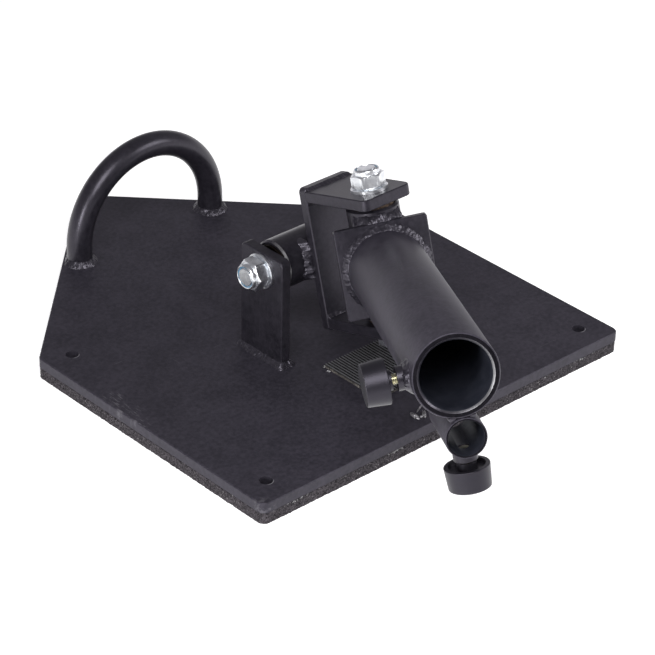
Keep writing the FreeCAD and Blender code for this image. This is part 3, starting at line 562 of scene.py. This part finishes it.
# Pivot hardware: M16 hexagon bolts, washers and lock nuts, bright zinc plate over steel. Each
# nut's collar is rolled over a blue-grey nylon ring, and the bolt's thread ends inside it.
HEX_HALF = 12.0 * MM
WASHER = 2.5 * MM
NUT_HIGH = 11.0 * MM
COLLAR = 4.0 * MM
HEAD_HIGH = 10.0 * MM
BOLT_R = 8.0 * MM
THREAD_SEEN = 9.0 * MM
SWIVEL_REACH = 79.5 * MM
YOKE = Matrix.Translation(PIVOT) @ Matrix.Rotation(-math.radians(16), 4, "X")
ON_SWIVEL = YOKE @ Matrix.Translation((0, -SWIVEL_REACH, 0))
SLEEVE = ON_SWIVEL @ Matrix.Rotation(-math.radians(32), 4, "Z")
ALONG_TILT = Matrix.Translation(PIVOT) @ Matrix.Rotation(-math.pi / 2, 4, "Y")
zinc = Look("zinc_plate", Metallic=1.0)
zinc.feed("Base Color", zinc.mix(tone(0.72, 0.97, 1.0, 1.04), tone(0.93, 0.98, 1.0, 1.02),
                                 zinc.noise(180.0, 3.0).rise(0.3, 0.7)))
zinc.feed("Roughness", 0.22 + zinc.noise(900.0, 3.0) * 0.18)
zinc.feed("Normal", zinc.bump(zinc.noise(700.0, 2.0), 0.00006))
dress(zinc, "tilt_washers", "swivel_washers")
nylon = Look("nylon_ring", Roughness=0.4, Subsurface_Weight=0.15, Subsurface_Scale=0.002)
nylon.feed("Base Color", nylon.mix(tone(0.30, 0.35, 0.85, 1.25), tone(0.42, 0.45, 0.85, 1.2),
                                   nylon.noise(500.0)))
dress(nylon, "tilt_nut_insert", "swivel_nut_insert")


def turned(profile, steps=72, shape=None):
    """Mesh of a round piece about Z, from pairs of radius and height. A shape may narrow each
    ring by the turn."""
    points = []
    for radius, height in profile:
        for step in range(steps):
            turn = math.tau * step / steps
            wide = shape(radius, turn) if shape else radius
            points.append((wide * math.cos(turn), wide * math.sin(turn), height))
    return points, tube_faces(len(profile), steps)


def hexagonal(radius, turn):
    """The smaller of a ring's radius and a hexagon's outline."""
    inside = (turn + math.pi / 6) % (math.pi / 3) - math.pi / 6
    return min(radius, HEX_HALF / math.cos(inside))


def hex_profile(low, high, bore):
    """Rings of a hexagon with bevelled corners, closed towards a bore at both ends."""
    bevel = [(0.965, 0.0), (1.0, 0.35), (1.06, 0.75), (1.16, 1.3)]
    rings = [(bore, low)]
    rings += [(HEX_HALF * share, low + rise * MM) for share, rise in bevel]
    rings += [(HEX_HALF * share, high - rise * MM) for share, rise in reversed(bevel)]
    rings.append((bore, high))
    return rings


def threaded(radius, pitch, depth, low, high, steps=48):
    """Mesh of a screw thread, closed at both ends and bevelled at the high one."""
    points = []
    rows = round((high - low) / (pitch / 8))
    for row in range(rows + 1):
        height = low + (high - low) * row / rows
        for step in range(steps):
            turn = step / steps
            ridge = 1 - abs((height / pitch - turn) % 1.0 - 0.5) * 2
            wide = radius - depth + depth * min(1.0, ridge * 1.25)
            wide = min(wide, radius - depth * 0.9 + max(0.0, high - height))
            points.append((wide * math.cos(math.tau * turn), wide * math.sin(math.tau * turn), height))
    return points, tube_faces(rows + 1, steps, True)


for prefix, grip, place, body in (("tilt", 119.0 * MM, ALONG_TILT, "base"),
                                  ("swivel", 117.0 * MM, ON_SWIVEL, "yoke")):
    seat = grip / 2 + WASHER
    top = seat + NUT_HIGH + COLLAR
    nut_sides = turned(hex_profile(seat, seat + NUT_HIGH, 8.1 * MM), 144, hexagonal)
    rolled = [(10.5, 1.6), (10.3, 0.9), (9.9, 0.3), (9.4, 0.0), (9.0, 0.1), (8.8, 0.5), (9.25, 0.7),
              (9.25, 3.0)]
    collar_rings = [(10.5 * MM, seat + NUT_HIGH - 0.4 * MM)]
    collar_rings += [(radius * MM, top - below * MM) for radius, below in rolled]
    nut = add_piece(f"{prefix}_nut", *joined([nut_sides, turned(collar_rings, 96)]), zinc, body,
                    f"{prefix}_lock_nut", place, 28)
    low = -seat
    head_rings = [(0.0, low - HEAD_HIGH), (HEX_HALF * 0.93, low - HEAD_HIGH)]
    head_rings += hex_profile(low - HEAD_HIGH + 0.1 * MM, low, BOLT_R)[1:]
    shank = turned([(BOLT_R, low), (BOLT_R, top - THREAD_SEEN)])
    thread = threaded(BOLT_R, 2.0 * MM, 1.0 * MM, top - THREAD_SEEN, top, 72)
    bolt_parts = [turned(head_rings, 144, hexagonal), shank, thread]
    bolt = add_piece(f"{prefix}_bolt_turned", *joined(bolt_parts), zinc, body, f"{prefix}_bolt", place, 28)


# Yoke: a length of tube on the tilt bolt, a back plate welded to it, and two cheek plates
# welded to the back plate, all powder-coated together. Flanged bronze bushes line both pivots.
BACK_FACE = 21.2 * MM
FRONT_FACE = 29.2 * MM
CHEEK_OUT = 58.5 * MM
CHEEK_IN = 49.0 * MM
YOKE_HALF = 25.0 * MM
AHEAD = Vector((0, -1, 0))
dress(tube_coat, "swivel_tube", "side_boss", "lower_boss")
yoke_coat = powder_coat("yoke_coat", 1.1, 0.36, 0.5)
dress(yoke_coat, "yoke_back_plate", "yoke_top_plate", "yoke_bottom_plate", "sleeve_plate")
bronze = Look("bronze", Metallic=1.0)
bronze.feed("Base Color", bronze.mix(tone(0.035, 1.35, 1.0, 0.85), tone(0.14, 1.35, 1.0, 0.75),
                                     bronze.noise(260.0, 4.0).rise(0.3, 0.7)))
bronze.feed("Roughness", 0.40 + bronze.noise(900.0) * 0.2)
dress(bronze, "upper_swivel_bush", "lower_swivel_bush")
# The tilt bushes get a much darker, glossier copy of the bronze: painted shade for their flanges in the narrow
# gaps beside the ears.
shaded_bronze = Look("shaded_bronze", Metallic=1.0, Roughness=0.35)
shaded_bronze.feed("Base Color", shaded_bronze.mix(tone(0.010, 1.3, 1.0, 0.85), tone(0.045, 1.3, 1.0, 0.8),
                                                 shaded_bronze.noise(260.0, 4.0).rise(0.3, 0.7)))
dress(shaded_bronze, "left_tilt_bush", "right_tilt_bush")

# A glossier coat for the barrel's end chamfers and the large sleeve's inner bevel. Pale metallic spots at the
# barrel's left end and at the low right of the mouth are painted highlights.
highlight_bevel_coat = powder_coat("highlight_bevel_coat", 1.0, 0.3, 0.8)
mouth_highlight = highlight_bevel_coat.near(SLEEVE @ (Vector((25.0, -294.7, -9.0)) * MM), 0.046)
wear_and_highlight = highlight_bevel_coat.near((-0.0442, 0.003, 0.112), 0.022) + mouth_highlight
highlight_bevel_coat.feed("Metallic", wear_and_highlight * 0.85)
highlight_bevel_coat.feed("Base Color", highlight_bevel_coat.mix(highlight_bevel_coat.colour, tone(0.30, 1.0, 0.99, 1.02),
                                               wear_and_highlight * (highlight_bevel_coat.noise(240.0, 4.0) * 0.6 + 0.4)))


TUBE_STEPS = 144
TUBE_SHARP = 35


def steel_tube(name, replaced, body, place, rings, coat, bands):
    """A round tube from its rings of radius and height. Some bands of it, counted from the first
    ring on, have a look of their own."""
    tube = add_piece(name, *turned(rings, TUBE_STEPS), coat, body, replaced, place, TUBE_SHARP)
    for index, (band, look) in enumerate(bands.items()):
        tube.data.materials.append(look.material)
        for face in tube.data.polygons[band * TUBE_STEPS:(band + 1) * TUBE_STEPS]:
            face.material_index = index + 1
    return tube


raw_steel = Look("raw_bore", Specular_IOR_Level=0.5, Specular_Tint=(0.80, 0.88, 1.0, 1.0))
raw_steel.feed("Base Color", raw_steel.mix(tone(0.011, 0.90, 1.0, 1.55), tone(0.020, 0.95, 1.0, 1.40),
                                           raw_steel.noise(90.0, 4.0).rise(0.3, 0.7)))
raw_steel.feed("Roughness", 0.42 + raw_steel.noise(300.0, 3.0) * 0.15)
END = 47.2 * MM
steel_tube("barrel_tube", "tilt_barrel", "yoke", ALONG_TILT, [
    (13.0 * MM, -END), (19.7 * MM, -END), (21.2 * MM, 1.5 * MM - END), (21.2 * MM, END - 1.5 * MM),
    (19.7 * MM, END), (13.0 * MM, END), (13.0 * MM, -END)], tube_coat,
    {1: highlight_bevel_coat, 3: highlight_bevel_coat, 5: raw_steel})

yoke_beads = []
for level, seed in ((1, 11.0), (-1, 12.0)):
    corner = Vector((0, -FRONT_FACE, level * CHEEK_OUT))
    side = Vector((YOKE_HALF - 2.5 * MM, 0, 0))
    route = straight_route(corner - side, corner + side, AHEAD, UP * level * 0.62)
    yoke_beads.append(fillet_bead(route, 3.7 * MM, seed, lumps=0.3, pitch=3.2 * MM))
    corner = Vector((0, -FRONT_FACE, level * CHEEK_IN))
    side = Vector((YOKE_HALF - 0.8 * MM, 0, 0))
    route = straight_route(corner - side, corner + side, AHEAD, UP * -level)
    yoke_beads.append(fillet_bead(route, 3.2 * MM, seed + 2.0, lumps=0.4))
BARREL_R = 21.2 * MM
BARREL_BEAD = 6.6 * MM
BARREL_TALL = 17.6 * MM
for side, seed in ((-1, 15.0), (1, 16.0)):
    route = []
    steps = 70
    for step in range(steps + 1):
        share = -1 + 2 * step / steps
        height = share * BARREL_TALL
        on_tube = math.sqrt(BARREL_R ** 2 - height ** 2)
        taper = max(0.12, (1 - share ** 6)) ** 0.5
        reach = (BACK_FACE - on_tube + 3.0 * MM) / BARREL_BEAD
        corner = Vector((side * (YOKE_HALF - 0.4 * MM), -on_tube + 0.6 * MM, height))
        route.append((corner, Vector((side * taper, 0, 0)), AHEAD * reach * taper, height + BARREL_TALL))
    yoke_beads.append(fillet_bead(route, BARREL_BEAD, seed, lumps=0.38, bulge=0.42, pitch=5.5 * MM))
bead_piece("yoke_beads", yoke_beads, "yoke", "yoke_welds", YOKE)


# Swinging part: the large bar sleeve and the small one under its mouth, turned and drilled for
# their screws. Welds run round the joints of tube, square plate, sleeves and threaded bosses.
SQUARE_BACK = 21.2 * MM
SQUARE_HALF = 37.5 * MM
SLEEVE_BACK = 27.2 * MM
MOUTH = 294.7 * MM
SLEEVE_R = 31.75 * MM
SLEEVE_BORE = 26.0 * MM
SMALL_R = 15.25 * MM
SMALL_BORE = 13.25 * MM
SMALL_LONG = 60.0 * MM
SMALL_DROP = 47.3 * MM
SCREW_AT = MOUTH - 20.0 * MM


sleeve_coat = powder_coat("sleeve_coat", 1.9, 0.48, 0.5)
# The mouth rims get a much darker, nearly unreflecting copy of the sleeve coat: painted shade.
shaded_rim_coat = powder_coat("shaded_rim_coat", 0.4, 0.6, 0.08)


SIDE_START = Matrix.Translation((0, -SCREW_AT, 0)) @ Matrix.Rotation(-math.pi / 2, 4, "Y")
LOWER_START = Matrix.Translation((0, -SCREW_AT, -SMALL_DROP)) @ Matrix.Rotation(math.pi, 4, "X")
SCREW_HOLE_R = 4.3 * MM
BIT_STEPS = 40


def drill(tube, start, low, high):
    """Cut a screw's hole through the wall of a tube, between two distances from its axis."""
    points, faces = turned([(SCREW_HOLE_R, low), (SCREW_HOLE_R, high)], BIT_STEPS)
    faces += [tuple(range(BIT_STEPS - 1, -1, -1)), tuple(range(BIT_STEPS, 2 * BIT_STEPS))]
    bit_mesh = bpy.data.meshes.new("drill_bit")
    bit_mesh.from_pydata([SLEEVE @ start @ Vector(point) for point in points], [], faces)
    bit = bpy.data.objects.new("drill_bit", bit_mesh)
    bpy.context.scene.collection.objects.link(bit)
    cut = tube.modifiers.new("drill", "BOOLEAN")
    cut.object = bit
    cut.operation = "DIFFERENCE"
    cut.solver = "EXACT"
    shape = bpy.data.meshes.new_from_object(tube.evaluated_get(bpy.context.evaluated_depsgraph_get()))
    tube.modifiers.clear()
    tube.data = shape
    shape.set_sharp_from_angle(angle=math.radians(TUBE_SHARP))
    bpy.data.objects.remove(bit)


def bar_tube(name, replaced, outer, bore, start, drop_by, outside, inside, bands):
    """A length of tube with bevels of two sizes at its mouth, each band of it in the look given for it."""
    depth = MOUTH - start
    rings = [(bore, 0.0), (outer, 0.0), (outer, depth - outside),
             (outer - outside * 0.3, depth - outside * 0.3), (outer - outside, depth),
             (bore + inside, depth), (bore + inside * 0.25, depth - inside * 0.6),
             (bore, depth - inside), (bore, 0.0)]
    place = SLEEVE @ Matrix.Translation((0, -start, -drop_by)) @ Matrix.Rotation(math.pi / 2, 4, "X")
    return steel_tube(name, replaced, "bar_sleeve", place, rings, sleeve_coat, bands)


large_sleeve = bar_tube("large_sleeve", "main_sleeve", SLEEVE_R, SLEEVE_BORE, SLEEVE_BACK, 0.0,
                        1.1 * MM, 1.9 * MM, {4: shaded_rim_coat, 5: highlight_bevel_coat, 6: raw_steel, 7: raw_steel})
little_sleeve = bar_tube("little_sleeve", "small_sleeve", SMALL_R, SMALL_BORE, MOUTH - SMALL_LONG,
                         SMALL_DROP, 0.8 * MM, 0.6 * MM,
                         {4: shaded_rim_coat, 5: shaded_rim_coat, 6: raw_steel, 7: raw_steel})
drill(large_sleeve, SIDE_START, 22.0 * MM, 36.0 * MM)
drill(little_sleeve, LOWER_START, 8.0 * MM, 20.0 * MM)

sleeve_beads = []
root_route = []
for step in range(400):
    turn = math.tau * step / 400
    way = Vector((math.cos(turn), 0, math.sin(turn)))
    root_route.append((Vector((0, -SLEEVE_BACK, 0)) + way * SLEEVE_R, way, AHEAD, SLEEVE_R * turn))
sleeve_beads.append(fillet_bead(root_route, 4.7 * MM, 21.0, closed=True, lumps=0.22, bulge=0.10,
                                pitch=3.4 * MM))
for side, seed in ((-1, 22.0), (1, 23.0)):
    start = Vector((side * 9.5 * MM, -SQUARE_BACK + 2.2 * MM, -SQUARE_HALF + 0.5 * MM))
    end = Vector((side * 9.5 * MM, -SQUARE_BACK + 2.2 * MM, SQUARE_HALF - 0.5 * MM))
    route = straight_route(start, end, Vector((side * 1.1, -0.25, 0)), Vector((side * 0.45, 0.85, 0)))
    sleeve_beads.append(fillet_bead(route, 4.6 * MM, seed, lumps=0.28))
for level, seed in ((1, 24.0), (-1, 29.0)):
    cap_route = []
    for step in range(111):
        turn = math.radians(-60 + 120 * step / 110)
        out = Vector((math.sin(turn), -math.cos(turn), 0))
        corner = out * SQUARE_BACK
        corner.z = level * (SQUARE_HALF - 1.2 * MM)
        forward = Vector((math.sin(turn) * 0.35, -0.75 - 0.35 * abs(math.sin(turn)), 0))
        cap_route.append((corner, forward, UP * level, SQUARE_BACK * turn))
    sleeve_beads.append(fillet_bead(cap_route, 6.4 * MM, seed, lumps=0.34, bulge=0.12, pitch=3.0 * MM))
for side, seed in ((-1, 25.0), (1, 26.0)):
    x = side * 5.2 * MM
    height = -SLEEVE_R * math.cos(math.asin(x / SLEEVE_R))
    start = Vector((x, -MOUTH + 1.6 * MM, height - 0.6 * MM))
    end = Vector((x, -(MOUTH - SMALL_LONG), height - 0.6 * MM))
    route = straight_route(start, end, Vector((side * 1.0, 0, 0.12)), Vector((side * 0.62, 0, -0.62)))
    sleeve_beads.append(fillet_bead(route, 5.0 * MM, seed, lumps=0.22))
for start, tube, leg, seed in ((SIDE_START, SLEEVE_R, 4.4, 27.0), (LOWER_START, SMALL_R, 3.0, 28.0)):
    def on_tube(place, tube=tube):
        return math.sqrt(max(0.0, tube ** 2 - place[0] ** 2))
    axes = start.to_3x3()
    ring = [(start @ corner, axes @ first, axes @ second, run)
            for corner, first, second, run in ring_route(9.0 * MM, 170, rise=on_tube)]
    sleeve_beads.append(fillet_bead(ring, leg * MM, seed, closed=True, lumps=0.3, bulge=0.12))
bead_piece("sleeve_beads", sleeve_beads, "bar_sleeve", "sleeve_welds", SLEEVE)


# Thumbscrews: M8 studs, yellow passivated, with drum knobs of black moulded plastic that are
# hollow round their hub. One clamps each sleeve's bar.
yellow_zinc = Look("yellow_zinc", Metallic=1.0)
yellow_zinc.feed("Base Color", yellow_zinc.mix(tone(0.62, 1.05, 0.98, 0.68), tone(0.78, 1.02, 1.0, 0.80),
                                               yellow_zinc.noise(300.0, 3.0)))
yellow_zinc.feed("Roughness", 0.22 + yellow_zinc.noise(1200.0) * 0.15)
plastic = Look("knob_plastic", Specular_IOR_Level=0.5, Specular_Tint=(0.88, 0.83, 1.0, 1.0))
plastic.feed("Base Color", plastic.mix(tone(0.0050, 1.06, 1.0, 1.35), tone(0.0095, 1.06, 1.0, 1.3),
                                       plastic.noise(60.0, 3.0)))
plastic.feed("Roughness", 0.34 + plastic.noise(700.0) * 0.10)
plastic.feed("Normal", plastic.bump(plastic.noise(1600.0, 2.0), 0.00004))
dress(plastic, "side_screw_knob", "lower_screw_knob")
STUD_R = 4.0 * MM
THREAD_PITCH = 1.25 * MM
THREAD_DEEP = 0.65 * MM
TIP_GAP = 0.3 * MM
BOSS_LONG = 7.5 * MM
IN_KNOB = 14.0 * MM
for prefix, start, tube, bore, feed in (("side", SIDE_START, SLEEVE_R, SLEEVE_BORE, 3.8 * MM),
                                        ("lower", LOWER_START, SMALL_R, SMALL_BORE, 1.5 * MM)):
    end = tube + BOSS_LONG + feed + IN_KNOB
    thread = threaded(STUD_R, THREAD_PITCH, THREAD_DEEP, -end, -(bore + TIP_GAP), 40)
    flipped = [(x, -y, -z) for x, y, z in thread[0]]
    stud = add_piece(f"{prefix}_stud_thread", flipped, thread[1], yellow_zinc, f"{prefix}_stud",
                     f"{prefix}_screw_stud", SLEEVE @ start, 50)


# Floor, light and camera: a white seamless floor under soft studio lamps, seen from the front
# left and above with a long lens.
FLOOR_REACH = 30.0
floor_corners = [(x * FLOOR_REACH, y * FLOOR_REACH, 0) for x, y in ((-1, -1), (1, -1), (1, 1), (-1, 1))]
floor_mesh = bpy.data.meshes.new("floor")
floor_mesh.from_pydata(floor_corners, [], [(0, 1, 2, 3)])
floor = bpy.data.objects.new("floor", floor_mesh)
bpy.context.scene.collection.objects.link(floor)
paper = Look("seamless_paper", Roughness=1.0, Specular_IOR_Level=0.0)
paper.feed("Base Color", paper.mix(tone(0.80), tone(0.84), paper.noise(3.0)))
seen = paper.node("ShaderNodeLightPath", out="Is Camera Ray")
mirrored = paper.node("ShaderNodeLightPath", out="Is Glossy Ray")
through = paper.node("ShaderNodeLightPath", out="Is Transmission Ray")
glow = paper.node("ShaderNodeEmission", None, {"Strength": 0.65})
both = paper.node("ShaderNodeAddShader", None, {0: Value(paper, paper.shader.outputs[0]), 1: glow})
direct = paper.maths("MAXIMUM", paper.maths("MAXIMUM", seen, mirrored), through)
shown = paper.node("ShaderNodeMixShader", None, {0: direct, 1: Value(paper, paper.shader.outputs[0]), 2: both})
paper.tree.links.new(shown.socket, paper.tree.nodes["Material Output"].inputs["Surface"])
floor_mesh.materials.append(paper.material)

world = bpy.data.worlds.new("studio")
bpy.context.scene.world = world
sky = Shading(world, "Background", "Generated")
height = sky.along("Z").rise(0.02, 0.24)
front = sky.node("ShaderNodeVectorMath", {"operation": "DOT_PRODUCT"},
                 {0: sky.place, 1: (-0.63, -0.77, 0.0)}, "Value")
horizon = 1 - front.rise(0.55, 0.92) * 0.85
sky.feed("Strength", horizon * (1 - height) * 0.76 + 0.24)
sky.feed("Color", (1.0, 0.97, 1.03, 1.0))


def softbox(name, place, aim, size, watts):
    lamp = bpy.data.lights.new(name, "AREA")
    lamp.shape = "RECTANGLE"
    lamp.size, lamp.size_y = size
    lamp.energy = watts
    holder = bpy.data.objects.new(name, lamp)
    holder.location = place
    holder.rotation_mode = "QUATERNION"
    holder.rotation_quaternion = (Vector(aim) - Vector(place)).to_track_quat("-Z", "Y")
    bpy.context.scene.collection.objects.link(holder)


softbox("left_softbox", (-1.3, -0.36, 0.3), (-0.03, 0.05, 0.1), (0.24, 0.5), 7.0)
softbox("overhead_softbox", (-0.75, -0.8, 1.2), (0, 0, 0.05), (0.8, 0.8), 14.0)
softbox("right_softbox", (0.95, -0.95, 0.9), (0, 0, 0.1), (0.6, 0.6), 8.0)

EYE = Vector((-1.3597, -1.4706, 1.2404))
AIM = Vector((-0.0316, -0.0334, 0.060))
LENS = 2854.0 / 655.0 * 36.0
LEAN = math.radians(1.19)
look_way = (AIM - EYE).normalized()
level_right = look_way.cross(UP).normalized()
level_up = level_right.cross(look_way)
right = level_right * math.cos(LEAN) + level_up * math.sin(LEAN)
camera_up = -level_right * math.sin(LEAN) + level_up * math.cos(LEAN)
camera_data = bpy.data.cameras.new("camera")
camera_data.lens = LENS
camera_data.sensor_width = 36.0
camera_data.clip_start = 0.1
camera_data.clip_end = 100.0
camera = bpy.data.objects.new("camera", camera_data)
bpy.context.scene.collection.objects.link(camera)
facing = Matrix((right, camera_up, -look_way)).transposed()
camera.matrix_world = Matrix.Translation(EYE) @ facing.to_4x4()
bpy.context.scene.camera = camera
bpy.context.scene.view_settings.view_transform = "Standard"
